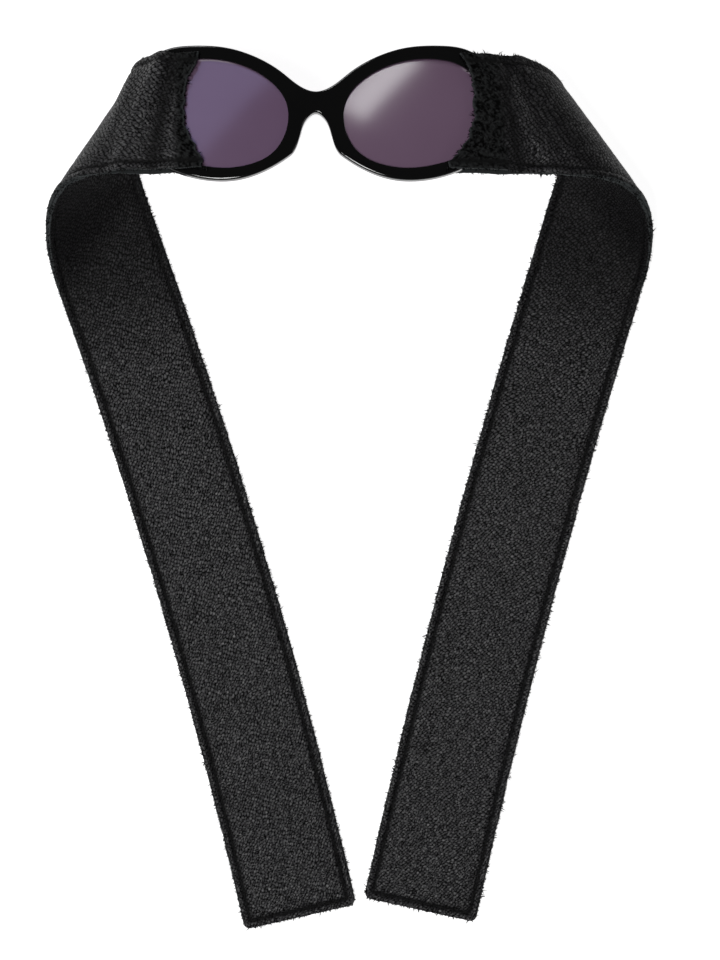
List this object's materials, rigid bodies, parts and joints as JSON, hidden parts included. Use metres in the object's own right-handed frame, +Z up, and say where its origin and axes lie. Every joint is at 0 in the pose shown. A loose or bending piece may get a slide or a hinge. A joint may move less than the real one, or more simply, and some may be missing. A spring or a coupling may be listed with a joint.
{
  "type": "tie-strap glasses",
  "caption": "Tinted oval glasses with a glossy acetate front and wide two-ply leather straps that tie behind the head.",
  "frame": {"origin": "middle of the bounding box in plan, at the table that the straps lie on", "axes": "+X to the wearer's left as seen from above the front, +Y towards the brow side, +Z up out of the front of the lenses"},
  "size_m": [0.2449, 0.3516, 0.0678],
  "materials": {
    "acetate": "polished black acetate",
    "lens": "purple tint, smooth",
    "leather": "black pebbled grain, satin",
    "thread": "black waxed thread"
  },
  "bodies": {
    "front": {"front_frame": "acetate", "lens_left": "lens", "lens_right": "lens", "nose_pad_left": "acetate", "nose_pad_right": "acetate", "strap_left_outer_fold": "leather", "strap_left_inner_fold": "leather", "stitch_left_fold": "thread", "strap_right_outer_fold": "leather", "strap_right_inner_fold": "leather", "stitch_right_fold": "thread"},
    "left_tail": {"strap_left_outer_tail": "leather", "strap_left_inner_tail": "leather", "stitch_left_tail": "thread"},
    "left_tip": {"strap_left_outer_tip": "leather", "strap_left_inner_tip": "leather", "stitch_left_tip": "thread"},
    "right_tail": {"strap_right_outer_tail": "leather", "strap_right_inner_tail": "leather", "stitch_right_tail": "thread"},
    "right_tip": {"strap_right_outer_tip": "leather", "strap_right_inner_tip": "leather", "stitch_right_tip": "thread"}
  },
  "joints": [
    {"name": "left_tail_lift", "type": "hinge", "parent": "front", "child": "left_tail", "pos_m": [-0.09687, 0.09145, 0.003], "axis": [-0.5684, -0.8228, 0], "range_deg": [0, 60]},
    {"name": "left_tip_flex", "type": "hinge", "parent": "left_tail", "child": "left_tip", "pos_m": [-0.05449, -0.03881, 0.003], "axis": [-0.9599, -0.2803, 0], "range_deg": [0, 60]},
    {"name": "right_tail_lift", "type": "hinge", "parent": "front", "child": "right_tail", "pos_m": [0.09773, 0.09442, 0.003], "axis": [-0.5883, 0.8086, 0], "range_deg": [0, 60]},
    {"name": "right_tip_flex", "type": "hinge", "parent": "right_tail", "child": "right_tip", "pos_m": [0.06039, -0.03634, 0.003], "axis": [-0.9669, 0.2551, 0], "range_deg": [0, 60]}
  ]
}
